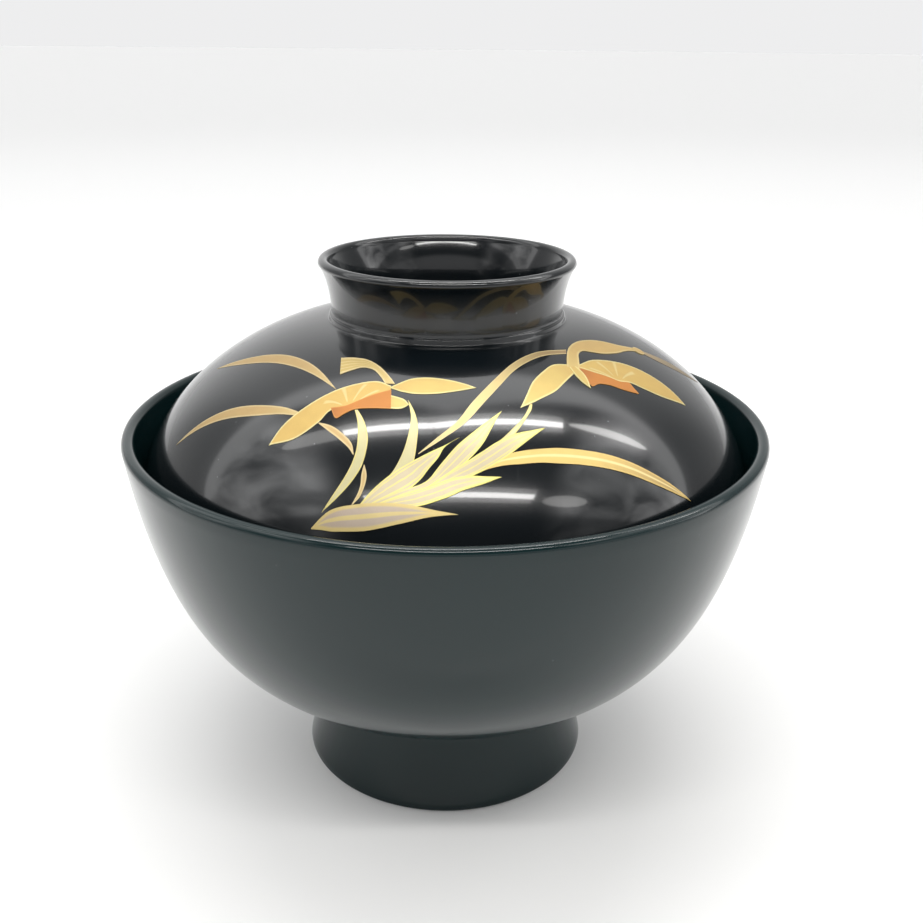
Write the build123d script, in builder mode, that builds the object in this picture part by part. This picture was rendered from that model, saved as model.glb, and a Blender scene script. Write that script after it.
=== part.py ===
from build123d import *
import os

# ---------------------------------------------------------------------------
# Lidded rice bowl, turned shapes about the Z axis, all sizes in millimetres.
# Origin: centre of the circle that the foot ring stands on. +Z is up.
# ---------------------------------------------------------------------------

# Bowl: outside
rim_radius = 62.5  # outermost radius, at the mouth
rim_height = 74.0  # top of the lip above the table
lip_thickness = 2.4  # wall thickness where the lip is rounded
foot_radius = 29.7  # outer radius of the face that stands on the table
foot_waist_radius = 27.9  # narrowest radius of the foot, under the belly
foot_height = 15.6  # height at which the foot meets the belly
foot_edge_round = 0.6  # rounding of the foot's lower outer edge
foot_face_width = 2.8  # width of the flat ring that touches the table

# Bowl: inside and underneath
floor_height = 20.4  # inside of the bowl at its centre, above the table
recess_height = 14.8  # ceiling of the hollow inside the foot
recess_draft = 0.8  # how much the hollow narrows towards its ceiling
recess_corner = 2.0  # rounding where the hollow's wall meets its ceiling

# Lid: dome
lid_radius = 58.7  # outermost radius, at the lid's edge
lid_edge_height = 66.1  # height of the edge's widest circle when closed
lid_edge_thickness = 2.2  # wall thickness at the rounded edge
dome_radius = 22.9  # where the dome starts, just outside the collar
dome_height = 93.7  # height of the dome there
lid_ceiling_height = 91.3  # inside of the lid at its centre

# Lid: grip ring with its low collar
collar_radius = 22.6
collar_height = 94.8
ring_base_radius = 22.1
ring_top_radius = 24.4
ring_top_height = 105.3
ring_lip_thickness = 2.0
ring_floor_height = 94.4  # floor of the hollow inside the ring
ring_hollow_radius = 20.2  # radius of that hollow at its floor
ring_floor_corner = 2.2  # rounding between that floor and the ring's wall

os.makedirs("parts", exist_ok=True)

lip_round = lip_thickness / 2
lip_centre_height = rim_height - lip_round
edge_round = lid_edge_thickness / 2
ring_round = ring_lip_thickness / 2
ring_lip_centre = ring_top_radius - ring_round

# ---------------------------------------------------------------------------
# Bowl: foot, belly and lip in one turned piece
# ---------------------------------------------------------------------------
with BuildPart() as bowl:
    with BuildSketch(Plane.XZ):
        with BuildLine():
            # underneath: hollow of the foot, from the axis to the standing face
            face_inner = foot_radius - foot_edge_round - foot_face_width
            recess_radius = face_inner - recess_draft
            Line((0, recess_height), (recess_radius - recess_corner, recess_height))
            ThreePointArc(
                (recess_radius - recess_corner, recess_height),
                (
                    recess_radius - recess_corner * 0.293,
                    recess_height - recess_corner * 0.293,
                ),
                (recess_radius, recess_height - recess_corner),
            )
            Line((recess_radius, recess_height - recess_corner), (face_inner, 0))
            Line((face_inner, 0), (foot_radius - foot_edge_round, 0))
            ThreePointArc(
                (foot_radius - foot_edge_round, 0),
                (foot_radius - foot_edge_round * 0.293, foot_edge_round * 0.293),
                (foot_radius, foot_edge_round),
            )
            # outside: the foot's hollow flare, the round throat and the belly
            Bezier(
                (foot_radius, foot_edge_round),
                (foot_waist_radius + 0.3, foot_height * 0.45),
                (foot_waist_radius - 0.1, foot_height * 0.75),
                (foot_waist_radius, foot_height),
            )
            Bezier(
                (foot_waist_radius, foot_height),
                (foot_waist_radius + 0.1, foot_height + 1.6),
                (foot_waist_radius + 1.1, foot_height + 2.6),
                (foot_waist_radius + 2.9, foot_height + 3.7),
            )
            Bezier(
                (foot_waist_radius + 2.9, foot_height + 3.7),
                (foot_waist_radius + 13.9, foot_height + 10.4),
                (rim_radius - 5.6, 30.0),
                (rim_radius, lip_centre_height),
            )
            # lip, then down the inside of the wall to the floor
            ThreePointArc(
                (rim_radius, lip_centre_height),
                (rim_radius - lip_round, rim_height),
                (rim_radius - lip_thickness, lip_centre_height),
            )
            Bezier(
                (rim_radius - lip_thickness, lip_centre_height),
                (rim_radius - 7.1, floor_height + 17.6),
                (rim_radius - 17.0, floor_height),
                (0, floor_height),
            )
            Line((0, floor_height), (0, recess_height))
        make_face()
    revolve(axis=Axis.Z)
bowl.part.label = "bowl"
export_step(bowl.part, "parts/bowl.step")

# ---------------------------------------------------------------------------
# Lid: dome and grip ring in one turned piece
# ---------------------------------------------------------------------------
with BuildPart() as lid:
    with BuildSketch(Plane.XZ):
        with BuildLine():
            # top of the dome, from the collar down to the edge
            Bezier(
                (dome_radius, dome_height),
                (dome_radius + 14.3, dome_height - 2.2),
                (lid_radius - 3.9, lid_edge_height + 15.1),
                (lid_radius, lid_edge_height),
            )
            ThreePointArc(
                (lid_radius, lid_edge_height),
                (lid_radius - edge_round, lid_edge_height - edge_round),
                (lid_radius - lid_edge_thickness, lid_edge_height),
            )
            # inside of the dome, up to the axis
            Bezier(
                (lid_radius - lid_edge_thickness, lid_edge_height),
                (lid_radius - 6.2, lid_edge_height + 14.4),
                (dome_radius + 13.0, lid_ceiling_height - 0.6),
                (dome_radius - 2.9, lid_ceiling_height - 0.2),
            )
            Line(
                (dome_radius - 2.9, lid_ceiling_height - 0.2),
                (0, lid_ceiling_height),
            )
            Line((0, lid_ceiling_height), (0, ring_floor_height))
            # hollow of the grip ring
            Line(
                (0, ring_floor_height),
                (ring_hollow_radius - ring_floor_corner, ring_floor_height),
            )
            ThreePointArc(
                (ring_hollow_radius - ring_floor_corner, ring_floor_height),
                (
                    ring_hollow_radius - ring_floor_corner * 0.293,
                    ring_floor_height + ring_floor_corner * 0.293,
                ),
                (ring_hollow_radius, ring_floor_height + ring_floor_corner),
            )
            Bezier(
                (ring_hollow_radius, ring_floor_height + ring_floor_corner),
                (ring_hollow_radius + 0.3, ring_floor_height + 5.2),
                (ring_lip_centre - ring_round - 1.1, ring_top_height - 3.0),
                (ring_lip_centre - ring_round, ring_top_height - ring_round),
            )
            # rounded lip and the ring's flared outside
            ThreePointArc(
                (ring_lip_centre - ring_round, ring_top_height - ring_round),
                (ring_lip_centre, ring_top_height),
                (ring_top_radius, ring_top_height - ring_round),
            )
            Bezier(
                (ring_top_radius, ring_top_height - ring_round),
                (ring_top_radius - 1.5, ring_top_height - 3.3),
                (ring_base_radius + 0.25, collar_height + 3.8),
                (ring_base_radius, collar_height),
            )
            # low collar that the ring stands on
            Polyline(
                (ring_base_radius, collar_height),
                (collar_radius, collar_height),
                (collar_radius + 0.1, dome_height + 0.1),
                (dome_radius, dome_height),
            )
        make_face()
    revolve(axis=Axis.Z)
lid.part.label = "lid"
export_step(lid.part, "parts/lid.step")
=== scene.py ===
"""A black-lacquer rice bowl with a loose lid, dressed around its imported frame.

The bowl and the lid are turned shells. The lid carries a painted spray of two orchids, laid on as thin
films that follow the dome. All fields named in millimetres are turned into metres where a mesh is made.
"""

import logging
import math
from dataclasses import dataclass
from enum import Enum

import bpy
from mathutils import Matrix, Vector
from mathutils.geometry import interpolate_bezier


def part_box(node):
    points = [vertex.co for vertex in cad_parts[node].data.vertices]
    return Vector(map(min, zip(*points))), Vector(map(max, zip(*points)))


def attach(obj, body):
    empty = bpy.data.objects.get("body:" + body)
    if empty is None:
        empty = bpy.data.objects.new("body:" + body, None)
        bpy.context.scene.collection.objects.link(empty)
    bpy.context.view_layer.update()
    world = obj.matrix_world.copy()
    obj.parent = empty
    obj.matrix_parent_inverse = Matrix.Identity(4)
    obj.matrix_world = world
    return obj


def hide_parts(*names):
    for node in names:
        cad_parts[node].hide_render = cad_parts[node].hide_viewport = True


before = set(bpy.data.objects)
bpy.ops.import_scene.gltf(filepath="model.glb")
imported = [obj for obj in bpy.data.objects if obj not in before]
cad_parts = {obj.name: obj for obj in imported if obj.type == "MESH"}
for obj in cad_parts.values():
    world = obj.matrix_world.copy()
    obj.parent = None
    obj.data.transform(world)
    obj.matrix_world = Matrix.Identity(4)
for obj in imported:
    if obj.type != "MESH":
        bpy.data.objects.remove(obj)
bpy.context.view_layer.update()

log = logging.getLogger("rice_bowl")

MM = 0.001
TURN_STEPS = 256
WELD = 1e-6
SMOOTH_UNDER = math.radians(38)
ROUND_PULL = 0.5523

Point = tuple[float, float]
Range = tuple[float, float]
Colour = tuple[float, float, float, float]


# -------- Shader maths
class Signal:
    """An output socket that Python expressions can work on."""

    def __init__(self, bench: "Bench", socket: bpy.types.NodeSocket) -> None:
        """Wraps one output socket.

        Args:
            bench: The node tree's bench, which adds the nodes.
            socket: The output socket.
        """
        self.bench = bench
        self.socket = socket

    def _maths(self, operation: str, *terms: "Signal | float") -> "Signal":
        """Adds one Math node.

        Args:
            operation: The Math node's operation.
            terms: Its inputs, in order.

        Returns:
            The node's result.
        """
        return self.bench.make("ShaderNodeMath", {"operation": operation}, dict(enumerate(terms)))

    def __add__(self, other: "Signal | float") -> "Signal":
        """self + other."""
        return self._maths("ADD", self, other)

    def __radd__(self, other: float) -> "Signal":
        """other + self."""
        return self._maths("ADD", other, self)

    def __sub__(self, other: "Signal | float") -> "Signal":
        """self - other."""
        return self._maths("SUBTRACT", self, other)

    def __rsub__(self, other: float) -> "Signal":
        """other - self."""
        return self._maths("SUBTRACT", other, self)

    def __mul__(self, other: "Signal | float") -> "Signal":
        """self * other."""
        return self._maths("MULTIPLY", self, other)

    def __rmul__(self, other: float) -> "Signal":
        """other * self."""
        return self._maths("MULTIPLY", other, self)

    def abs(self) -> "Signal":
        """The size of self, without its sign."""
        return self._maths("ABSOLUTE", self)

    def sine(self) -> "Signal":
        """The sine of self, in radians."""
        return self._maths("SINE", self)

    def angle_over(self, other: "Signal | float") -> "Signal":
        """The angle whose opposite side is self and whose adjacent side is other."""
        return self._maths("ARCTAN2", self, other)

    def most(self, other: "Signal | float") -> "Signal":
        """The greater of self and other."""
        return self._maths("MAXIMUM", self, other)

    def rise(self, low: float, high: float) -> "Signal":
        """A soft step from 0 at low to 1 at high."""
        settings = {"interpolation_type": "SMOOTHSTEP", "clamp": True}
        limits = {0: self, 1: low, 2: high, 3: 0.0, 4: 1.0}
        return self.bench.make("ShaderNodeMapRange", settings, limits)


class Bench:
    """Builds one node tree."""

    def __init__(self, tree: bpy.types.NodeTree) -> None:
        """Starts on an empty tree.

        Args:
            tree: The node tree of a material or a world.
        """
        self.tree = tree
        tree.nodes.clear()

    def node(
        self, kind: str, settings: dict[str, object] | None = None, inputs: dict | None = None
    ) -> bpy.types.Node:
        """Adds a node, sets it up and feeds its sockets.

        Args:
            kind: The node's type.
            settings: Its properties, set first.
            inputs: Values or signals by socket name or number.

        Returns:
            The new node.
        """
        node = self.tree.nodes.new(kind)
        for key, value in (settings or {}).items():
            setattr(node, key, value)
        for key, value in (inputs or {}).items():
            if isinstance(value, Signal):
                self.tree.links.new(value.socket, node.inputs[key])
            else:
                node.inputs[key].default_value = value
        return node

    def make(
        self,
        kind: str,
        settings: dict[str, object] | None = None,
        inputs: dict | None = None,
        output: int | str = 0,
    ) -> Signal:
        """Adds a node and returns one of its outputs as a signal."""
        return Signal(self, self.node(kind, settings, inputs).outputs[output])

    def mix(self, share: Signal | float, first: Signal | Colour, second: Signal | Colour) -> Signal:
        """Mixes two colours: first where share is 0, second where it is 1."""
        return self.make("ShaderNodeMix", {"data_type": "RGBA"}, {0: share, 6: first, 7: second}, 2)

    def finish(self, shader: str, inputs: dict) -> None:
        """Adds the surface shader and joins it to the output.

        Args:
            shader: The shader node's type.
            inputs: Its values or signals by socket name.
        """
        surface = self.node(shader, None, inputs)
        out = self.node("ShaderNodeOutputMaterial")
        self.tree.links.new(surface.outputs[0], out.inputs["Surface"])

    def bump(self, height: Signal, depth: float, strength: float = 1.0) -> Signal:
        """A normal that stands up and down by depth, in metres, as height goes from 0 to 1."""
        inputs = {"Strength": strength, "Distance": depth, "Height": height}
        return self.make("ShaderNodeBump", None, inputs)

    def place(self) -> Signal:
        """The point's place on the object, in metres."""
        return self.make("ShaderNodeTexCoord", output="Object")

    def noise(self, where: Signal, scale: float, detail: float = 2.0, twist: float = 0.0) -> Signal:
        """Smooth noise between 0 and 1 at a place."""
        inputs = {"Vector": where, "Scale": scale, "Detail": detail, "Distortion": twist}
        return self.make("ShaderNodeTexNoise", {"noise_dimensions": "3D"}, inputs)


# -------- Finishes
def new_material(name: str) -> tuple[bpy.types.Material, Bench]:
    """An empty material and its bench."""
    material = bpy.data.materials.new(name)
    material.use_nodes = True
    return material, Bench(material.node_tree)


@dataclass(frozen=True)
class Lacquer:
    """Polished black lacquer: a clear sharp gloss over a slightly hazy one, with dust and hairlines."""

    name: str
    tint: Colour = (0.0015, 0.0028, 0.0038, 1.0)
    cloud_scale: float = 45.0
    cloud_lift: float = 1.35
    haze: float = 0.19
    haze_drift: float = 0.05
    body_gloss: float = 0.30
    coat: float = 0.6
    coat_roughness: float = 0.05
    refraction: float = 1.5
    ripple_scale: float = 70.0
    ripple_depth: float = 6e-6
    speck_cells: float = 420.0
    speck_size: float = 0.045
    speck_share: float = 0.22
    speck_tint: Colour = (0.16, 0.17, 0.18, 1.0)
    speck_dullness: float = 0.25
    speck_height: float = 0.6
    scratch_turns: tuple[float, float] = (0.5, 2.1)
    scratch_stretch: tuple[float, float, float] = (1600.0, 26.0, 26.0)
    scratch_band: Range = (0.73, 0.78)
    scratch_dullness: float = 0.05

    def _specks(self, bench: Bench, where: Signal) -> Signal:
        """Fine dust: a small dot in some cells of a grid.

        Args:
            bench: The material's bench.
            where: The place on the object.

        Returns:
            1 on a dot, 0 elsewhere.
        """
        cells = bench.node("ShaderNodeTexVoronoi", None, {"Vector": where, "Scale": self.speck_cells})
        near = 1 - Signal(bench, cells.outputs["Distance"]).rise(self.speck_size * 0.5, self.speck_size)
        tones = Signal(bench, cells.outputs["Color"])
        pick = bench.make("ShaderNodeSeparateColor", None, {0: tones})
        return near * (1 - pick.rise(self.speck_share, self.speck_share + 0.02))

    def _hairlines(self, bench: Bench, where: Signal, turn: float) -> Signal:
        """Very fine long scratches that wiping leaves, in one direction.

        Args:
            bench: The material's bench.
            where: The place on the object.
            turn: Direction of the scratches, in radians.

        Returns:
            1 on a scratch, 0 elsewhere.
        """
        inputs = {"Vector": where, "Rotation": (0.3, 0.2, turn), "Scale": self.scratch_stretch}
        stretched = bench.make("ShaderNodeMapping", None, inputs)
        return bench.noise(stretched, 1.0, 1.0).rise(*self.scratch_band)

    def build(self) -> bpy.types.Material:
        """Makes the material."""
        material, bench = new_material(self.name)
        where = bench.place()
        specks = self._specks(bench, where)
        first_turn, second_turn = self.scratch_turns
        scratches = self._hairlines(bench, where, first_turn).most(self._hairlines(bench, where, second_turn))
        cloud = bench.noise(where, self.cloud_scale, 3.0)
        lifted = tuple(c * self.cloud_lift for c in self.tint[:3]) + (1.0,)
        colour = bench.mix(specks, bench.mix(cloud, self.tint, lifted), self.speck_tint)
        worn = self.scratch_dullness * scratches + self.speck_dullness * specks
        ripple = bench.noise(where, self.ripple_scale, 1.0)
        bench.finish(
            "ShaderNodeBsdfPrincipled",
            {
                "Base Color": colour,
                "Roughness": self.haze + self.haze_drift * (cloud - 0.5) + worn,
                "IOR": self.refraction,
                "Specular IOR Level": self.body_gloss,
                "Coat Weight": self.coat,
                "Coat Roughness": self.coat_roughness,
                "Coat IOR": self.refraction,
                "Normal": bench.bump(ripple + specks * self.speck_height, self.ripple_depth),
            },
        )
        return material


LID_LACQUER = Lacquer("lid_lacquer")
BOWL_LACQUER = Lacquer(
    "bowl_lacquer",
    tint=(0.002, 0.010, 0.011, 1.0),
    haze=0.20,
    body_gloss=0.19,
    coat=0.40,
    coat_roughness=0.045,
)


class Grain(Enum):
    """What is drawn inside a painted shape."""

    PLAIN = "plain"
    FAN = "fan"
    STRIPES = "stripes"
    MIDRIB = "midrib"


@dataclass(frozen=True)
class FilmPaint:
    """A thin film of metallic paint with a paler rim and drawn veins.

    The film's own UV map runs along the shape in U and across it in V, and its attribute "rim_mm" holds
    the distance to the nearest edge.
    """

    name: str
    slot: str
    heart: Colour
    root: Colour
    rim: Colour
    rim_width: float = 0.22
    root_from: float = 0.0
    root_reach: float = 0.35
    grain: Grain = Grain.PLAIN
    vein: Colour = (0.86, 0.62, 0.24, 1.0)
    vein_count: float = 12.0
    fan_foot: float = 0.335
    metal: float = 0.40
    roughness: float = 0.42
    fan_stretch: float = 4.2
    fan_height: float = 1.04
    fan_line: Range = (0.70, 1.0)
    fan_start: Range = (0.05, 0.12)
    fan_end: Range = (0.95, 1.25)
    stripe_line: Range = (0.90, 0.99)
    stripe_drift: float = 0.10
    drift_scale: float = 500.0
    midrib_edge: Range = (0.06, 0.12)
    rim_wobble: float = 0.08
    rim_crispness: float = 0.45
    rim_height: float = 0.5
    grit_scale: float = 5200.0
    grit_contrast: float = 0.12
    grit_height: float = 0.25
    grit_dullness: float = 0.16
    patch_scale: float = 420.0
    patch_contrast: float = 0.16
    relief_depth: float = 1.2e-5

    def _veins(self, bench: Bench, along: Signal, across: Signal) -> Signal | float:
        """The lines drawn inside the shape.

        Args:
            bench: The material's bench.
            along: 0 at the root to 1 at the tip.
            across: 0 at one edge to 1 at the other.

        Returns:
            1 on a line, 0 between lines.
        """
        if self.grain is Grain.FAN:
            run, climb = (along - self.fan_foot) * self.fan_stretch, self.fan_height - across
            lines = (run.angle_over(climb) * self.vein_count).sine().rise(*self.fan_line)
            reach = run * run + climb * climb
            return lines * reach.rise(*self.fan_start) * (1 - reach.rise(*self.fan_end))
        if self.grain is Grain.STRIPES:
            drift = self.stripe_drift * (bench.noise(bench.place(), self.drift_scale, 1.0) - 0.5)
            lines = (across + drift) * (self.vein_count * math.pi)
            return lines.sine().abs().rise(*self.stripe_line)
        if self.grain is Grain.MIDRIB:
            return 1 - (across - 0.5).abs().rise(*self.midrib_edge)
        return 0.0

    def build(self) -> bpy.types.Material:
        """Makes the material."""
        material, bench = new_material(self.name)
        where = bench.place()
        chart = bench.make("ShaderNodeUVMap", {"uv_map": "UVMap"})
        axes = bench.node("ShaderNodeSeparateXYZ", None, {0: chart})
        along, across = Signal(bench, axes.outputs[0]), Signal(bench, axes.outputs[1])
        inset = bench.make("ShaderNodeAttribute", {"attribute_name": "rim_mm"}, output="Fac")
        grit = bench.noise(where, self.grit_scale)
        patches = bench.noise(where, self.patch_scale, 3.0)
        body = bench.mix(along.rise(self.root_from, self.root_reach), self.root, self.heart)
        shade = (1 + self.patch_contrast * (patches - 0.5)) * (1 + self.grit_contrast * (grit - 0.5))
        veins = self._veins(bench, along, across)
        drawn = bench.mix(veins, body, self.vein) if isinstance(veins, Signal) else body
        wavering = inset + self.rim_wobble * (patches - 0.5)
        edge = wavering.rise(self.rim_width * self.rim_crispness, self.rim_width)
        edged = bench.mix(edge, self.rim, drawn)
        lit = bench.make("ShaderNodeVectorMath", {"operation": "SCALE"}, {0: edged, 3: shade})
        relief = self.grit_height * grit - self.rim_height * wavering.rise(0.0, self.rim_width)
        bench.finish(
            "ShaderNodeBsdfPrincipled",
            {
                "Base Color": lit,
                "Roughness": self.roughness + self.grit_dullness * (grit - 0.5),
                "Metallic": self.metal,
                "Normal": bench.bump(relief, self.relief_depth),
            },
        )
        return material


@dataclass(frozen=True)
class PaleFloor:
    """A plain pale sheet that the bowl stands on, with painted light: it glows a little more away from the
    bowl, which leaves a painted shadow round the foot.
    """

    name: str = "pale_sheet"
    tint: Colour = (0.90, 0.90, 0.895, 1.0)
    painted_light_near: Colour = (0.0, 0.0, 0.0, 1.0)
    painted_light_middle: Colour = (0.27, 0.27, 0.27, 1.0)
    painted_light_far: Colour = (0.11, 0.11, 0.113, 1.0)
    painted_shadow_centre: tuple[float, float, float] = (0.06, -0.06, 0.0)
    near_reach: Range = (0.02, 0.31)
    far_reach: Range = (0.45, 2.0)
    fibre_scale: float = 900.0
    fibre_depth: float = 2e-5

    def build(self) -> bpy.types.Material:
        """Makes the material."""
        material, bench = new_material(self.name)
        where = bench.place()
        fibres = bench.noise(where, self.fibre_scale, 3.0)
        # Painted light: the sheet glows in a ring away from the bowl and not at all next to it, a painted
        # shadow round the foot, off to the front right.
        away = bench.make(
            "ShaderNodeVectorMath", {"operation": "DISTANCE"}, {0: where, 1: self.painted_shadow_centre}, "Value"
        )
        inner = bench.mix(away.rise(*self.near_reach), self.painted_light_near, self.painted_light_middle)
        bench.finish(
            "ShaderNodeBsdfPrincipled",
            {
                "Base Color": self.tint,
                "Roughness": 0.75,
                "Specular IOR Level": 0.2,
                # The painted light and painted shadow come from the sheet's own glow.
                "Emission Color": bench.mix(away.rise(*self.far_reach), inner, self.painted_light_far),
                "Emission Strength": 1.0,
                "Normal": bench.bump(fibres, self.fibre_depth, 0.25),
            },
        )
        return material


# -------- Turned shells
@dataclass(frozen=True)
class Curve:
    """A cubic stretch of a turned profile, in (radius, height) millimetres."""

    start: Point
    pull_start: Point
    pull_end: Point
    end: Point
    steps: int = 24

    def reversed(self) -> "Curve":
        """The same stretch, run from its end to its start."""
        return Curve(self.end, self.pull_end, self.pull_start, self.start, self.steps)

    def points(self) -> list[Point]:
        """The stretch's points, from just after its start to its end."""
        corners = [Vector(p).to_3d() for p in (self.start, self.pull_start, self.pull_end, self.end)]
        return [(p.x, p.y) for p in interpolate_bezier(*corners, self.steps + 1)[1:]]


def straight(start: Point, end: Point, steps: int = 1) -> Curve:
    """A straight stretch between two points."""
    first, last = Vector(start), Vector(end)
    return Curve(start, tuple(first.lerp(last, 1 / 3)), tuple(first.lerp(last, 2 / 3)), end, steps)


def quarter(start: Point, corner: Point, end: Point, steps: int = 8) -> Curve:
    """A quarter-round from start to end, whose tangents meet at corner."""
    first, meet, last = Vector(start), Vector(corner), Vector(end)
    return Curve(start, tuple(first.lerp(meet, ROUND_PULL)), tuple(last.lerp(meet, ROUND_PULL)), end, steps)


def half_round(start: Point, top: Point, end: Point, steps: int = 8) -> list[Curve]:
    """A half-round lip from start over top to end, with the lip's sides upright."""
    return [
        quarter(start, (start[0], top[1]), top, steps),
        quarter(top, (end[0], top[1]), end, steps),
    ]


def deselect_all() -> None:
    """Leaves nothing selected."""
    bpy.ops.object.select_all(action="DESELECT")


def turn(name: str, stretches: list[Curve]) -> bpy.types.Object:
    """Turns a profile about the Z axis into a closed shell.

    Args:
        name: The piece's name.
        stretches: The profile, from the axis round to the axis, each starting where the last ended.

    Returns:
        The piece, with its place in its mesh.
    """
    deselect_all()
    radius, height = stretches[0].start
    here = Vector((radius * MM, 0.0, height * MM))
    bpy.ops.mesh.primitive_plane_add(size=MM, location=here)
    piece = bpy.context.object
    piece.name = name
    piece.data.name = name
    bpy.ops.object.mode_set(mode="EDIT")
    bpy.ops.mesh.merge(type="CENTER")
    for stretch in stretches:
        for radius, height in stretch.points():
            there = Vector((radius * MM, 0.0, height * MM))
            bpy.ops.mesh.extrude_vertices_move(TRANSFORM_OT_translate={"value": there - here})
            here = there
    bpy.ops.mesh.select_all(action="SELECT")
    bpy.ops.mesh.spin(steps=TURN_STEPS, angle=math.tau, center=(0, 0, 0), axis=(0, 0, 1))
    bpy.ops.mesh.select_all(action="SELECT")
    bpy.ops.mesh.remove_doubles(threshold=WELD)
    bpy.ops.mesh.normals_make_consistent(inside=False)
    bpy.ops.object.mode_set(mode="OBJECT")
    bpy.ops.object.transform_apply(location=True, rotation=True, scale=True)
    bpy.ops.object.shade_smooth_by_angle(angle=SMOOTH_UNDER)
    return piece


@dataclass
class Bowl:
    """The bowl: rounded lip, belly, throat and foot in one shell. Sizes in millimetres."""

    rim_radius: float
    rim_height: float
    lip_thickness: float = 2.4
    foot_radius: float = 29.7
    foot_waist_radius: float = 27.9
    foot_height: float = 15.6
    foot_edge_round: float = 0.6
    foot_face_width: float = 2.8
    floor_height: float = 20.4
    recess_height: float = 14.8
    recess_draft: float = 0.8
    recess_corner: float = 2.0

    def underside(self) -> list[Curve]:
        """The hollow of the foot and the flat ring that the bowl stands on."""
        face = self.foot_radius - self.foot_edge_round - self.foot_face_width
        wall = face - self.recess_draft
        top, corner = self.recess_height, self.recess_corner
        return [
            straight((0, top), (wall - corner, top), 6),
            quarter((wall - corner, top), (wall, top), (wall, top - corner)),
            straight((wall, top - corner), (face - 0.25, 0.35), 4),
            quarter((face - 0.25, 0.35), (face - 0.2, 0.0), (face + 0.1, 0.0), 4),
            straight((face + 0.1, 0.0), (self.foot_radius - self.foot_edge_round, 0.0), 3),
            quarter(
                (self.foot_radius - self.foot_edge_round, 0.0),
                (self.foot_radius, 0.0),
                (self.foot_radius, self.foot_edge_round),
            ),
        ]

    def outside(self) -> list[Curve]:
        """The foot's hollow flare, the throat and the belly up to the lip."""
        waist, top = self.foot_waist_radius, self.foot_height
        lip = self.rim_height - self.lip_thickness / 2
        return [
            Curve(
                (self.foot_radius, self.foot_edge_round),
                (waist + 0.3, top * 0.45),
                (waist - 0.1, top * 0.75),
                (waist, top),
                18,
            ),
            Curve(
                (waist, top),
                (waist + 0.1, top + 1.6),
                (waist + 1.1, top + 2.6),
                (waist + 2.9, top + 3.7),
                12,
            ),
            Curve(
                (waist + 2.9, top + 3.7),
                (waist + 13.9, top + 10.4),
                (self.rim_radius - 5.6, 30.0),
                (self.rim_radius, lip),
                56,
            ),
        ]

    def inside(self) -> list[Curve]:
        """The rounded lip and the inner wall down to the middle of the floor."""
        lip = self.rim_height - self.lip_thickness / 2
        inner = self.rim_radius - self.lip_thickness
        middle = self.rim_radius - self.lip_thickness / 2
        rounded = half_round((self.rim_radius, lip), (middle, self.rim_height), (inner, lip), 10)
        wall = Curve(
            (inner, lip),
            (self.rim_radius - 7.1, self.floor_height + 17.6),
            (self.rim_radius - 17.0, self.floor_height),
            (0, self.floor_height),
            64,
        )
        return [*rounded, wall]

    def build(self) -> bpy.types.Object:
        """Turns the bowl and dresses it."""
        piece = turn("bowl_shell", [*self.underside(), *self.outside(), *self.inside()])
        piece.data.materials.append(BOWL_LACQUER.build())
        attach(piece, "bowl")
        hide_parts("bowl")
        log.info("bowl shell: %d faces", len(piece.data.polygons))
        return piece


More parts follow.
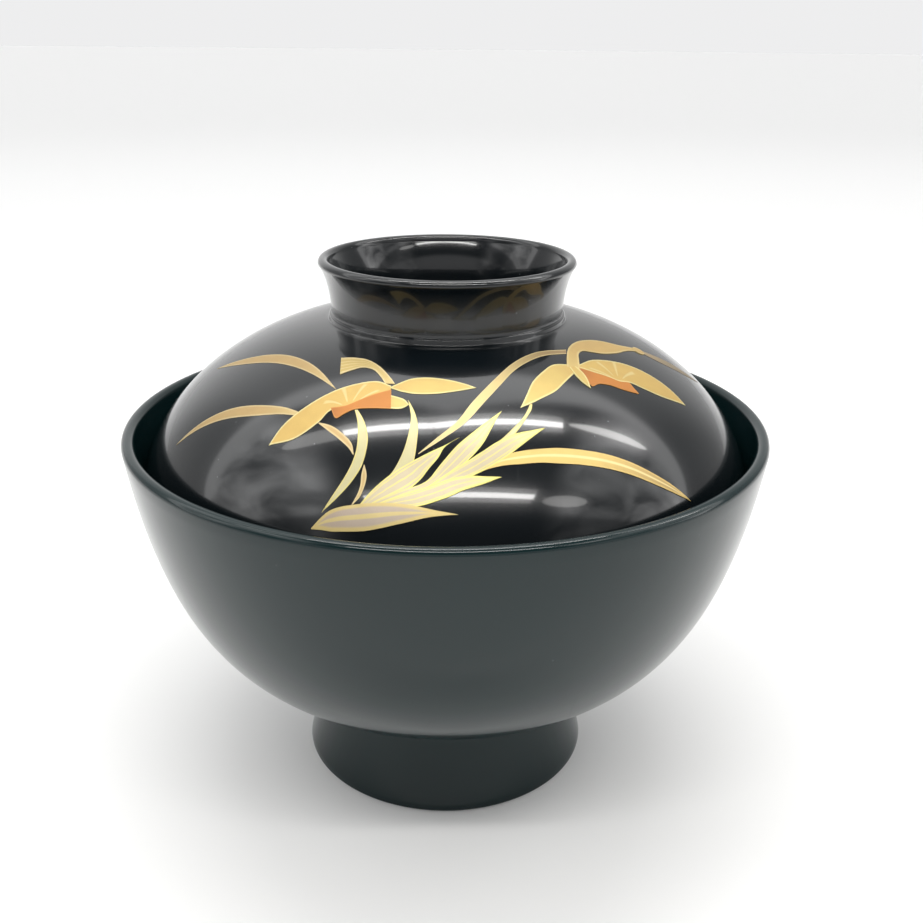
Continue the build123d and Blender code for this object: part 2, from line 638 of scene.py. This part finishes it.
@dataclass
class Lid:
    """The lid: dome, low collar and flared grip ring in one shell. Sizes in millimetres."""

    top_height: float
    radius: float = 58.7
    edge_height: float = 66.1
    edge_thickness: float = 2.2
    dome_radius: float = 22.9
    dome_height: float = 93.7
    ceiling_height: float = 91.3
    collar_radius: float = 22.6
    collar_height: float = 94.8
    ring_base_radius: float = 22.1
    ring_top_radius: float = 24.4
    ring_lip_thickness: float = 2.0
    ring_floor_height: float = 94.4
    ring_hollow_radius: float = 20.2
    ring_floor_corner: float = 2.2

    def dome(self) -> Curve:
        """The outside of the dome, from the collar down to the edge."""
        return Curve(
            (self.dome_radius, self.dome_height),
            (self.dome_radius + 14.3, self.dome_height - 2.2),
            (self.radius - 3.9, self.edge_height + 15.1),
            (self.radius, self.edge_height),
            72,
        )

    def underside(self) -> list[Curve]:
        """The rounded edge and the inside of the dome, up to the axis."""
        inner = self.radius - self.edge_thickness
        middle = self.radius - self.edge_thickness / 2
        bottom = self.edge_height - self.edge_thickness / 2
        rounded = half_round((self.radius, self.edge_height), (middle, bottom), (inner, self.edge_height))
        shoulder = (self.dome_radius - 2.9, self.ceiling_height - 0.2)
        wall = Curve(
            (inner, self.edge_height),
            (self.radius - 6.2, self.edge_height + 14.4),
            (self.dome_radius + 13.0, self.ceiling_height - 0.6),
            shoulder,
            60,
        )
        return [*rounded, wall, straight(shoulder, (0, self.ceiling_height), 8)]

    def ring(self) -> list[Curve]:
        """The grip ring, from the middle of its hollow over its lip to the dome."""
        half = self.ring_lip_thickness / 2
        floor, corner, hollow = self.ring_floor_height, self.ring_floor_corner, self.ring_hollow_radius
        lip = self.top_height - half
        lip_middle = self.ring_top_radius - half
        lip_inner = self.ring_top_radius - self.ring_lip_thickness
        base, collar, step = self.ring_base_radius, self.collar_height, self.collar_radius
        return [
            straight((0, floor), (hollow - corner, floor), 6),
            quarter((hollow - corner, floor), (hollow, floor), (hollow, floor + corner)),
            Curve(
                (hollow, floor + corner),
                (hollow + 0.3, floor + 5.2),
                (lip_inner - 1.1, lip - 2.0),
                (lip_inner, lip),
                18,
            ),
            *half_round((lip_inner, lip), (lip_middle, self.top_height), (self.ring_top_radius, lip)),
            Curve(
                (self.ring_top_radius, lip),
                (self.ring_top_radius - 1.5, lip - 2.3),
                (base + 0.25, collar + 3.8),
                (base, collar + 0.15),
                20,
            ),
            quarter((base, collar + 0.15), (base, collar), (base + 0.15, collar), 4),
            quarter((base + 0.15, collar), (step, collar), (step, collar - 0.35), 6),
            straight((step, collar - 0.35), (step + 0.1, self.dome_height + 0.25), 2),
            quarter(
                (step + 0.1, self.dome_height + 0.25),
                (step + 0.12, self.dome_height + 0.05),
                (self.dome_radius, self.dome_height),
                5,
            ),
        ]

    def build(self) -> bpy.types.Object:
        """Turns the lid and dresses it."""
        downward = [*self.ring(), self.dome(), *self.underside()]
        piece = turn("lid_shell", [stretch.reversed() for stretch in reversed(downward)])
        piece.data.materials.append(LID_LACQUER.build())
        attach(piece, "lid")
        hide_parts("lid")
        log.info("lid shell: %d faces", len(piece.data.polygons))
        return piece


@dataclass
class DomeMap:
    """Finds the dome's surface above a place on its plan."""

    lid: Lid
    detail: int = 400

    def __post_init__(self) -> None:
        """Tabulates the dome's height over its radius."""
        dome = self.lid.dome()
        fine = Curve(dome.start, dome.pull_start, dome.pull_end, dome.end, self.detail)
        self.table = [dome.start, *fine.points()]

    def surface(self, x: float, y: float, lift: float) -> Vector:
        """The point of the dome above a place on the plan.

        Args:
            x: Place to the right, in millimetres.
            y: Place towards the back, in millimetres.
            lift: Height above the dome along its normal, in millimetres.

        Returns:
            The point, in metres.
        """
        radius = math.hypot(x, y)
        index = 1
        while index < len(self.table) - 1 and self.table[index][0] < radius:
            index += 1
        (low_r, low_z), (high_r, high_z) = self.table[index - 1], self.table[index]
        share = (radius - low_r) / (high_r - low_r)
        height = low_z + (high_z - low_z) * share
        slope = Vector((low_z - high_z, high_r - low_r)).normalized()
        out = radius + slope.x * lift
        return Vector((x / radius * out, y / radius * out, height + slope.y * lift)) * MM


# -------- The painted spray
class Line:
    """A smooth line through a few points of the plan."""

    def __init__(self, points: tuple[Point, ...]) -> None:
        """Measures the line.

        Args:
            points: Places that the line passes through, in millimetres.
        """
        self.points = [Vector(p) for p in points]
        self.marks = [0.0]
        for before, after in zip(self.points, self.points[1:]):
            self.marks.append(self.marks[-1] + (after - before).length)

    def _tangent(self, index: int) -> Vector:
        """The line's direction at one of its points, per millimetre of its length."""
        low, high = max(index - 1, 0), min(index + 1, len(self.points) - 1)
        return (self.points[high] - self.points[low]) / (self.marks[high] - self.marks[low])

    def at(self, share: float) -> Vector:
        """The place at a share of the line's length."""
        want = share * self.marks[-1]
        index = 0
        while index < len(self.points) - 2 and self.marks[index + 1] < want:
            index += 1
        span = self.marks[index + 1] - self.marks[index]
        t = (want - self.marks[index]) / span
        start, end = self.points[index], self.points[index + 1]
        pull_start, pull_end = self._tangent(index) * span, self._tangent(index + 1) * span
        return (
            start * (2 * t**3 - 3 * t**2 + 1)
            + pull_start * (t**3 - 2 * t**2 + t)
            + end * (3 * t**2 - 2 * t**3)
            + pull_end * (t**3 - t**2)
        )


@dataclass(frozen=True)
class Petal:
    """A painted shape between two edges that run from its root to its tip, on the lid's plan."""

    name: str
    paint: FilmPaint
    left: tuple[Point, ...]
    right: tuple[Point, ...]
    layer: int = 0

    def outline(self) -> tuple[Line, Line]:
        """The two edges."""
        return Line(self.left), Line(self.right)


@dataclass(frozen=True)
class Blade:
    """A slender painted leaf along a spine, widest part way and pointed at its tip."""

    name: str
    paint: FilmPaint
    spine: tuple[Point, ...]
    width: float
    widest: float = 0.5
    root_share: float = 0.0
    layer: int = 0
    stations: int = 14
    tip_bluntness: float = 0.9
    look_ahead: float = 0.01

    def _half_width(self, share: float) -> float:
        """Half the leaf's width at a share of its length."""
        if share < self.widest:
            swell = math.sin(share / self.widest * math.pi / 2)
            return self.width / 2 * (self.root_share + (1 - self.root_share) * swell)
        fall = math.cos((share - self.widest) / (1 - self.widest) * math.pi / 2)
        return self.width / 2 * fall**self.tip_bluntness

    def outline(self) -> tuple[Line, Line]:
        """The two edges, set out from the spine."""
        spine = Line(self.spine)
        left, right = [], []
        for step in range(self.stations + 1):
            share = step / self.stations
            here = spine.at(share)
            ahead = spine.at(min(share + self.look_ahead, 1.0)) - spine.at(max(share - self.look_ahead, 0.0))
            side = Vector((-ahead.y, ahead.x)).normalized() * self._half_width(share)
            left.append(tuple(here + side))
            right.append(tuple(here - side))
        return Line(tuple(left)), Line(tuple(right))


# Gold paint for the leaves on the left, made darker than the middle leaf's gold as painted shade.
SHADED_LEAF = FilmPaint(
    "gold_shaded_leaf_paint", "gold_paint",
    heart=(0.41, 0.28, 0.115, 1.0), root=(0.46, 0.35, 0.15, 1.0), rim=(0.50, 0.39, 0.20, 1.0),
    rim_width=0.32,
)
MIDDLE_LEAF = FilmPaint(
    "gold_middle_leaf_paint", "gold_paint",
    heart=(0.50, 0.39, 0.17, 1.0), root=(0.26, 0.18, 0.085, 1.0), rim=(0.52, 0.41, 0.20, 1.0),
    rim_width=0.30, root_reach=0.6,
)
FAINT_LEAF = FilmPaint(
    "gold_faint_leaf_paint", "gold_paint",
    heart=(0.21, 0.165, 0.10, 1.0), root=(0.30, 0.22, 0.12, 1.0), rim=(0.27, 0.21, 0.13, 1.0),
    rim_width=0.25, root_reach=0.6,
)
STRIPED_LEAF = FilmPaint(
    "gold_striped_leaf_paint", "gold_paint",
    heart=(0.38, 0.26, 0.10, 1.0), root=(0.60, 0.43, 0.14, 1.0), rim=(0.60, 0.43, 0.15, 1.0),
    rim_width=0.25, grain=Grain.MIDRIB, vein=(0.68, 0.55, 0.26, 1.0), root_from=0.45, root_reach=1.0,
)
STEM = FilmPaint(
    "pale_stem_paint", "gold_paint",
    heart=(0.44, 0.40, 0.22, 1.0), root=(0.44, 0.39, 0.26, 1.0), rim=(0.54, 0.46, 0.17, 1.0),
    rim_width=0.26,
)
PETAL = FilmPaint(
    "gold_petal_paint", "gold_paint",
    heart=(0.48, 0.325, 0.095, 1.0), root=(0.49, 0.34, 0.10, 1.0), rim=(0.58, 0.50, 0.24, 1.0),
    rim_width=0.34, grain=Grain.FAN, vein=(0.54, 0.43, 0.19, 1.0), vein_count=9.0,
)
SEPAL = FilmPaint(
    "gold_sepal_paint", "gold_paint",
    heart=(0.48, 0.35, 0.11, 1.0), root=(0.47, 0.32, 0.10, 1.0), rim=(0.57, 0.49, 0.22, 1.0),
    rim_width=0.36,
)
CURLED_SEPAL = FilmPaint(
    "gold_curled_sepal_paint", "gold_paint",
    heart=(0.45, 0.33, 0.11, 1.0), root=(0.50, 0.37, 0.14, 1.0), rim=(0.58, 0.47, 0.24, 1.0),
    rim_width=0.34, grain=Grain.STRIPES, vein=(0.56, 0.46, 0.24, 1.0), vein_count=5.0,
)
PLAIN_SEPAL = FilmPaint(
    "gold_plain_sepal_paint", "gold_paint",
    heart=(0.46, 0.31, 0.11, 1.0), root=(0.48, 0.35, 0.13, 1.0), rim=(0.53, 0.41, 0.18, 1.0),
    rim_width=0.42,
)
SHEATH = FilmPaint(
    "silver_sheath_paint", "silver_paint",
    heart=(0.58, 0.53, 0.22, 1.0), root=(0.44, 0.375, 0.255, 1.0), rim=(0.60, 0.54, 0.16, 1.0),
    rim_width=0.26, root_from=0.62, root_reach=1.0, grain=Grain.STRIPES, vein=(0.56, 0.50, 0.18, 1.0),
    vein_count=3.0,
)
GROUND_SHEATH = FilmPaint(
    "silver_ground_sheath_paint", "silver_paint",
    heart=(0.39, 0.32, 0.255, 1.0), root=(0.39, 0.31, 0.24, 1.0), rim=(0.52, 0.41, 0.165, 1.0),
    rim_width=0.46, grain=Grain.MIDRIB, vein=(0.53, 0.43, 0.19, 1.0),
)
LIP = FilmPaint(
    "orange_lip_paint", "orange_paint",
    heart=(0.41, 0.152, 0.022, 1.0), root=(0.33, 0.115, 0.018, 1.0), rim=(0.45, 0.19, 0.035, 1.0),
    rim_width=0.25, metal=0.25,
)

Shape = Blade | Petal

# The long grass-like leaves and the stems
LEAVES: tuple[Shape, ...] = (
    Blade("leaf_left_upper", SHADED_LEAF, width=2.4, widest=0.55, spine=(
        (-18.3, -32.8), (-22.7, -26.3), (-26.7, -21.5), (-30.8, -17.7), (-37.5, -12.9), (-43.2, -8.5),
    )),
    Blade("leaf_left_lower", SHADED_LEAF, width=2.0, widest=0.45, root_share=0.25, spine=(
        (-23.8, -36.2), (-26.8, -34.1), (-31.3, -31.6), (-37.5, -28.2), (-42.5, -26.2), (-47.8, -24.8),
    )),
    Petal("leaf_right_lower", STRIPED_LEAF, layer=3, left=(
        (2.5, -49.8), (5.7, -48.1), (8.3, -46.8), (11.0, -45.7), (14.2, -44.7), (18.0, -43.6), (21.5, -42.8),
        (25.5, -41.9), (29.4, -41.2), (34.0, -40.5), (38.0, -39.7), (40.8, -39.1),
    ), right=(
        (1.5, -50.9), (5.7, -48.9), (8.8, -47.9), (11.5, -47.3), (14.6, -46.5), (17.9, -45.8), (21.5, -44.9),
        (25.5, -43.9), (29.6, -42.9), (34.0, -41.8), (38.0, -40.4), (40.8, -39.1),
    )),
    Petal("leaf_middle", MIDDLE_LEAF, left=(
        (21.0, -19.7), (16.2, -22.2), (13.6, -24.5), (11.0, -27.7), (8.7, -31.2), (6.6, -34.4), (4.0, -38.2),
        (1.6, -41.8), (-1.8, -44.7), (-4.4, -46.7),
    ), right=(
        (20.9, -21.2), (16.8, -23.5), (13.8, -26.4), (11.3, -29.6), (8.9, -33.6), (6.4, -37.4), (2.9, -42.0),
        (-1.0, -44.9), (-4.4, -46.8),
    )),
    Blade("leaf_right_far", FAINT_LEAF, width=2.3, widest=0.35, root_share=0.5, spine=(
        (36.2, -8.9), (39.0, -8.3), (42.3, -6.9), (46.0, -5.0), (49.0, -2.5),
    )),
    Petal("leaf_small_curved", SHADED_LEAF, left=(
        (-20.8, -38.8), (-19.1, -40.6), (-17.0, -42.7), (-15.5, -44.3), (-14.7, -45.5),
    ), right=(
        (-20.7, -38.7), (-18.5, -40.0), (-16.5, -41.9), (-15.0, -43.8), (-14.6, -45.4),
    )),
    Petal("stem_left", STEM, left=(
        (-14.9, -38.0), (-14.3, -40.3), (-14.1, -42.3), (-14.2, -44.7), (-14.8, -46.6), (-15.9, -48.2),
        (-17.5, -49.7), (-19.3, -51.1),
    ), right=(
        (-14.4, -38.1), (-13.2, -40.5), (-12.5, -43.2), (-12.6, -45.2), (-13.3, -47.4), (-14.9, -49.1),
        (-17.0, -50.3), (-19.3, -51.1),
    )),
    Petal("leaf_small_low", SHADED_LEAF, left=(
        (-12.9, -47.2), (-13.2, -48.4), (-13.3, -49.6), (-13.7, -50.5), (-14.6, -51.5),
    ), right=(
        (-12.8, -47.2), (-12.4, -48.6), (-12.6, -49.7), (-13.3, -50.9), (-14.4, -51.5),
    )),
    Petal("stem_middle", STEM, left=(
        (-12.4, -51.2), (-10.3, -49.9), (-8.7, -49.1), (-7.6, -47.8), (-6.6, -45.8), (-5.9, -43.0),
        (-5.7, -41.0), (-5.9, -39.4), (-6.3, -37.4),
    ), right=(
        (-6.0, -50.6), (-5.4, -48.9), (-4.9, -46.8), (-4.6, -44.2), (-4.6, -42.2), (-5.1, -40.1),
        (-5.8, -38.4), (-6.3, -37.4),
    )),
)

# The orchid on the left
LEFT_FLOWER: tuple[Shape, ...] = (
    Petal("left_long_petal", PETAL, layer=1, left=(
        (-9.2, -34.0), (-11.6, -32.5), (-15.1, -32.4), (-18.7, -33.0), (-23.0, -34.7), (-26.7, -36.8),
        (-28.9, -39.3),
    ), right=(
        (-9.2, -35.2), (-13.2, -36.2), (-15.8, -37.2), (-18.9, -37.0), (-20.8, -38.7), (-24.5, -40.1),
        (-28.9, -39.3),
    )),
    Petal("left_side_petal", SEPAL, layer=1, left=(
        (-9.3, -34.3), (-8.1, -33.7), (-5.8, -32.7), (-3.1, -32.6), (0.2, -33.2), (3.0, -34.1), (4.8, -34.9),
    ), right=(
        (-9.3, -34.5), (-7.3, -35.6), (-4.9, -36.3), (-1.6, -36.4), (1.8, -35.8), (4.8, -34.9),
    )),
    Petal("left_curled_sepal", CURLED_SEPAL, layer=2, left=(
        (-8.5, -33.7), (-9.9, -31.0), (-11.5, -28.4), (-13.5, -26.2), (-15.8, -24.9), (-18.2, -24.2),
    ), right=(
        (-10.2, -33.3), (-11.0, -31.5), (-12.4, -29.3), (-14.2, -28.3), (-16.2, -28.6), (-18.0, -29.1),
    )),
    Petal("left_orange_lip", LIP, layer=2, left=(
        (-18.9, -36.5), (-16.6, -36.8), (-15.2, -36.5), (-14.0, -36.1), (-11.6, -35.4), (-9.1, -34.9),
    ), right=(
        (-18.8, -36.9), (-17.9, -38.8), (-16.5, -38.3), (-15.0, -37.9), (-12.6, -38.2), (-9.0, -38.9),
    )),
    Petal("left_lower_lobe", SEPAL, layer=1, left=(
        (-9.2, -36.1), (-7.9, -36.7), (-6.9, -37.3), (-6.1, -38.4),
    ), right=(
        (-9.1, -38.8), (-8.1, -39.0), (-7.1, -39.0), (-6.1, -38.4),
    )),
)

# The orchid on the right
RIGHT_FLOWER: tuple[Shape, ...] = (
    Petal("right_broad_petal", SEPAL, layer=1, left=(
        (22.0, -24.5), (18.3, -25.9), (16.2, -28.6), (14.3, -31.8), (13.2, -34.8), (12.3, -37.2),
        (11.9, -38.1),
    ), right=(
        (22.2, -26.3), (19.9, -30.1), (18.1, -32.9), (15.8, -35.1), (13.8, -36.8), (11.9, -38.1),
    )),
    Petal("right_long_petal", PETAL, layer=1, left=(
        (22.9, -24.0), (25.3, -21.3), (28.2, -19.6), (31.5, -18.4), (34.2, -18.0), (37.2, -18.2),
        (40.2, -19.1), (42.7, -20.9),
    ), right=(
        (22.9, -24.9), (25.5, -25.0), (27.9, -24.9), (29.8, -25.0), (32.1, -24.0), (34.4, -23.9),
        (38.0, -23.2), (42.7, -20.9),
    )),
    Petal("right_curled_sepal", PLAIN_SEPAL, layer=2, left=(
        (20.6, -25.7), (20.9, -22.0), (21.6, -18.6), (23.2, -15.5), (25.7, -13.1), (28.5, -11.7),
        (31.4, -10.9), (33.3, -9.9), (34.5, -9.1), (35.6, -8.7),
    ), right=(
        (22.9, -25.7), (23.0, -22.5), (23.2, -20.2), (24.1, -18.6), (25.7, -18.1), (28.1, -17.2),
        (30.9, -14.8), (32.8, -12.3), (34.3, -10.7), (35.6, -9.7),
    )),
    Petal("right_knob", PLAIN_SEPAL, layer=3, left=(
        (34.5, -9.3), (34.9, -8.4), (35.7, -8.0), (36.5, -8.3), (36.9, -9.1),
    ), right=(
        (34.5, -9.3), (34.9, -10.0), (35.7, -10.3), (36.5, -10.0), (36.9, -9.1),
    )),
    Petal("right_orange_lip", LIP, layer=2, left=(
        (22.7, -25.0), (25.5, -25.1), (28.2, -25.0), (30.1, -25.0), (31.7, -24.2), (32.3, -25.0),
        (33.2, -26.1),
    ), right=(
        (23.0, -26.0), (23.9, -28.0), (24.6, -29.2), (26.0, -27.9), (28.0, -27.2), (30.2, -27.0),
        (33.0, -26.3),
    )),
    Petal("right_sliver_petal", SEPAL, layer=3, left=(
        (22.2, -24.9), (23.4, -26.4), (24.0, -28.0), (24.3, -29.9),
    ), right=(
        (21.0, -25.6), (21.9, -27.6), (23.0, -29.0), (24.3, -29.9),
    )),
)

# The fan of pale sheath leaves at the foot of the plant
SHEATHS: tuple[Shape, ...] = (
    Petal("sheath_first", SHEATH, layer=1, left=(
        (-13.6, -51.9), (-11.2, -50.4), (-8.4, -49.0), (-5.3, -47.7), (-2.6, -46.6), (-0.2, -45.6),
        (2.0, -44.4),
    ), right=(
        (-12.0, -52.1), (-8.8, -51.7), (-5.8, -51.1), (-4.0, -50.1), (-2.6, -48.7), (-1.3, -47.4),
        (-0.3, -45.9), (2.0, -44.4),
    )),
    Petal("sheath_second", SHEATH, layer=2, left=(
        (-12.0, -52.0), (-7.4, -51.2), (-3.2, -50.4), (-0.8, -48.2), (1.6, -45.7), (3.9, -43.7),
        (6.4, -41.5), (8.8, -39.3),
    ), right=(
        (-9.6, -52.3), (-5.0, -51.7), (-1.0, -50.4), (2.6, -48.3), (5.5, -45.4), (7.2, -42.4), (8.0, -40.7),
        (8.8, -39.3),
    )),
    Petal("sheath_stem", STEM, layer=3, left=(
        (1.0, -49.4), (4.5, -47.0), (7.0, -45.4), (8.7, -44.1), (10.9, -41.7), (12.0, -40.3), (12.9, -38.7),
        (13.5, -37.1),
    ), right=(
        (3.0, -49.4), (6.5, -47.0), (9.0, -45.0), (10.8, -43.0), (12.2, -40.9), (13.1, -39.3), (13.7, -38.1),
        (13.9, -37.0),
    )),
    Petal("sheath_third", SHEATH, layer=4, left=(
        (-5.8, -52.4), (-0.3, -49.7), (4.3, -47.2), (7.9, -44.7), (10.8, -43.0), (13.6, -41.9),
        (15.7, -41.0),
    ), right=(
        (-4.6, -52.8), (0.5, -51.0), (5.7, -48.9), (9.4, -46.6), (12.7, -43.8), (15.7, -41.0),
    )),
    Petal("sheath_fourth", SHEATH, layer=5, left=(
        (-11.0, -52.2), (-6.5, -51.6), (-2.4, -50.9), (0.8, -50.1), (3.4, -49.7), (5.8, -49.6), (8.5, -49.4),
    ), right=(
        (-9.0, -52.6), (-4.3, -53.0), (-0.2, -52.3), (2.6, -51.4), (5.7, -50.5), (8.5, -49.4),
    )),
    Petal("sheath_ground", GROUND_SHEATH, layer=6, left=(
        (-20.8, -52.0), (-18.0, -51.3), (-14.1, -51.6), (-8.6, -52.3), (-4.5, -53.0), (-1.7, -53.5),
        (1.8, -53.9),
    ), right=(
        (-20.8, -52.1), (-19.3, -52.6), (-17.2, -53.3), (-12.1, -54.3), (-6.9, -54.4), (-2.3, -54.1),
        (1.8, -53.9),
    )),
)


@dataclass
class Spray:
    """Two orchids and their leaves, painted on the dome. Places in millimetres on the lid's plan."""

    lid: Lid
    film: float = 0.05
    layer_step: float = 0.025
    sunk: float = 0.06
    along: int = 40
    across: int = 8

    def _lay(self, shape: Shape, dome: DomeMap, paint: bpy.types.Material) -> None:
        """Lays one painted shape on the dome as a thin closed film.

        Args:
            shape: The shape, drawn on the plan.
            dome: The dome's surface.
            paint: The shape's material.
        """
        deselect_all()
        left, right = shape.outline()
        lift = self.film + shape.layer * self.layer_step
        bpy.ops.mesh.primitive_grid_add(x_subdivisions=self.along, y_subdivisions=self.across, size=2)
        piece = bpy.context.object
        piece.name = shape.name
        piece.data.name = shape.name
        rim = piece.data.attributes.new("rim_mm", "FLOAT", "POINT")
        for vertex in piece.data.vertices:
            along, across = (vertex.co.x + 1) / 2, (vertex.co.y + 1) / 2
            first, last = left.at(along), right.at(along)
            here = first.lerp(last, across)
            rim.data[vertex.index].value = (last - first).length * min(across, 1 - across)
            vertex.co = dome.surface(here.x, here.y, lift)
        bpy.ops.object.mode_set(mode="EDIT")
        bpy.ops.mesh.select_all(action="SELECT")
        bpy.ops.mesh.remove_doubles(threshold=WELD)
        bpy.ops.object.mode_set(mode="OBJECT")
        upward = sum((face.normal.z * face.area for face in piece.data.polygons), 0.0)
        if upward < 0:
            piece.data.flip_normals()
        wall = piece.modifiers.new("film", "SOLIDIFY")
        wall.thickness = (lift + self.sunk) * MM
        wall.offset = -1.0
        bpy.ops.object.modifier_apply(modifier="film")
        bpy.ops.object.shade_smooth_by_angle(angle=SMOOTH_UNDER)
        piece.data.materials.append(paint)
        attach(piece, "lid")
        log.info("painted %s: %d faces", shape.name, len(piece.data.polygons))

    def build(self) -> None:
        """Paints every shape of the spray."""
        dome = DomeMap(self.lid)
        shapes = [*LEAVES, *SHEATHS, *LEFT_FLOWER, *RIGHT_FLOWER]
        paints = {shape.paint.name: shape.paint for shape in shapes}
        materials = {name: paint.build() for name, paint in paints.items()}
        for shape in shapes:
            self._lay(shape, dome, materials[shape.paint.name])


# -------- The studio
@dataclass
class Studio:
    """A small white light tent with two strip lamps in its roof, and the camera."""

    camera_back: float = 0.20214
    camera_height: float = 0.1430
    camera_pitch: float = 0.3752
    camera_yaw: float = -0.0150
    camera_roll: float = 0.0097
    camera_lens: float = 41.66
    floor_size: float = 40.0
    backdrop: Colour = (0.855, 0.855, 0.86, 1.0)
    back_wall: float = 0.86
    back_slope: float = 2.60
    roof_middle: float = 0.22
    roof_sides: float = 2.10
    front_roof: float = 0.20
    front_roof_sides: float = 1.50
    opening: float = 0.06
    opening_sides: float = 0.45
    front_low: float = 0.80
    roof_height: float = 0.30
    sides_from: Range = (0.48, 0.68)
    clouds_from: Range = (0.45, 0.60)
    cloud_scale: float = 3.2
    cloud_twist: float = 0.8
    cloud_contrast: float = 4.6
    darkest_cloud: float = 0.15
    roof_lean: float = 28.0
    edge_softness: float = 3.0
    right_dimming: float = 0.28
    edge_dimming: float = 0.4
    lamp_colour: tuple[float, float, float] = (1.0, 0.99, 0.97)

    def floor(self) -> None:
        """The pale sheet under the bowl."""
        deselect_all()
        bpy.ops.mesh.primitive_circle_add(vertices=96, radius=self.floor_size / 2, fill_type="NGON")
        sheet = bpy.context.object
        sheet.name = "pale_sheet"
        sheet.data.materials.append(PaleFloor().build())

    def _strip(
        self, name: str, start: Point, end: Point, width: float, watts: float, shape: str = "RECTANGLE"
    ) -> None:
        """Hangs one strip lamp in the roof.

        Args:
            name: The lamp's name.
            start: Its left end over the floor, in metres.
            end: Its right end over the floor, in metres.
            width: Its width, in metres.
            watts: Its power for each metre of its length.
            shape: The lamp's outline.
        """
        first, last = Vector(start), Vector(end)
        run = last - first
        lamp = bpy.data.lights.new(name, "AREA")
        lamp.shape = shape
        lamp.size, lamp.size_y = run.length, width
        lamp.energy = watts * run.length
        lamp.color = self.lamp_colour
        holder = bpy.data.objects.new(name, lamp)
        holder.location = (*first.lerp(last, 0.5), self.roof_height)
        holder.rotation_euler = (0.0, 0.0, math.atan2(run.y, run.x))
        holder.visible_camera = False
        bpy.context.scene.collection.objects.link(holder)

    def lamps(self) -> None:
        """The two strips, each a bright core in a dim halo, and the soft glow past their ends."""
        for glow, spread, share in (("core", 1.0, 1.0), ("halo", 3.0, 0.32)):
            for name, start, end, width, watts in (
                ("strip_middle_left", (-0.118, -0.016), (-0.014, -0.021), 0.012, 1.10),
                ("strip_middle_right", (-0.014, -0.021), (0.132, 0.010), 0.012, 1.10),
                ("strip_front", (-0.131, -0.183), (0.140, -0.176), 0.016, 1.36),
            ):
                self._strip(f"{name}_{glow}", start, end, width * spread, watts * share)
        self._strip("strip_middle_far", (-0.230, -0.006), (-0.080, -0.017), 0.030, 0.30, "ELLIPSE")
        self._strip("strip_middle_end", (0.140, 0.016), (0.330, 0.056), 0.020, 0.55, "ELLIPSE")
        self._strip("strip_front_end", (0.160, -0.185), (0.270, -0.178), 0.044, 0.50, "ELLIPSE")

    def tent(self) -> None:
        """The tent's walls, roof and open front, as the surroundings."""
        world = bpy.data.worlds.new("light_tent")
        bpy.context.scene.world = world
        world.use_nodes = True
        bench = Bench(world.node_tree)
        toward = bench.make("ShaderNodeTexCoord", output="Generated")
        axes = bench.node("ShaderNodeSeparateXYZ", None, {0: toward})
        side, back, up = (Signal(bench, axes.outputs[i]) for i in range(3))
        swing = up.angle_over(back) * (180 / math.pi)
        out = side.abs()
        folds = bench.noise(toward, self.cloud_scale, 3.0, self.cloud_twist)
        wide = out.rise(*self.sides_from)
        dimmed_right = 1 - self.right_dimming * side.rise(-0.1, 0.4)
        wall = self.back_wall * dimmed_right * (1 - self.edge_dimming * out.rise(0.55, 0.8))
        roof = self.roof_middle * (1 - wide) + self.roof_sides * wide
        front = self.front_roof * (1 - wide) + self.front_roof_sides * wide
        opening = self.opening * (1 - wide) + self.opening_sides * wide
        clouds = self.cloud_contrast * out.rise(*self.clouds_from) * (folds - 0.5)
        light = wall
        bands = (
            (54.0, 0.0, self.back_slope),
            (77.0, self.roof_lean, roof),
            (113.0, 0.0, front),
            (130.0, 0.0, opening),
            (155.0, 0.0, self.front_low),
        )
        for reach, lean, brightness in bands:
            step = (swing + lean * out).rise(reach - self.edge_softness, reach + self.edge_softness)
            light = light * (1 - step) + brightness * step
        light = light * (1 + clouds * swing.rise(62.0, 70.0)).most(self.darkest_cloud)
        tent = bench.node("ShaderNodeBackground", None, {"Color": (1.0, 1.0, 1.0, 1.0), "Strength": light})
        pale = bench.node("ShaderNodeBackground", None, {"Color": self.backdrop})
        seen = bench.make("ShaderNodeLightPath", output="Is Camera Ray")
        both = bench.node(
            "ShaderNodeMixShader",
            None,
            {0: seen, 1: Signal(bench, tent.outputs[0]), 2: Signal(bench, pale.outputs[0])},
        )
        out_node = bench.node("ShaderNodeOutputWorld")
        bench.tree.links.new(both.outputs[0], out_node.inputs["Surface"])

    def camera(self) -> None:
        """The camera, looking down at the bowl's front."""
        data = bpy.data.cameras.new("camera")
        data.sensor_width = 36.0
        data.lens = self.camera_lens
        data.clip_start = 0.005
        holder = bpy.data.objects.new("camera", data)
        bpy.context.scene.collection.objects.link(holder)
        turned = (
            Matrix.Rotation(self.camera_yaw, 4, "Z")
            @ Matrix.Rotation(math.pi / 2 - self.camera_pitch, 4, "X")
            @ Matrix.Rotation(self.camera_roll, 4, "Z")
        )
        holder.matrix_world = Matrix.Translation((0, -self.camera_back, self.camera_height)) @ turned
        bpy.context.scene.camera = holder

    def build(self) -> None:
        """Sets up the floor, the lamps, the tent and the camera."""
        bpy.context.scene.view_settings.view_transform = "Standard"
        self.floor()
        self.lamps()
        self.tent()
        self.camera()
        log.info("studio ready")


def main() -> None:
    """Builds the bowl, the lid, its painted spray and the studio, in order."""
    logging.basicConfig(level=logging.INFO, format="%(name)s: %(message)s")
    bowl_top, lid_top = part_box("bowl")[1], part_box("lid")[1]
    bowl = Bowl(rim_radius=bowl_top[0] / MM, rim_height=bowl_top[2] / MM)
    bowl.build()
    lid = Lid(top_height=lid_top[2] / MM)
    lid.build()
    Spray(lid).build()
    Studio().build()


if __name__ == "__main__":
    main()
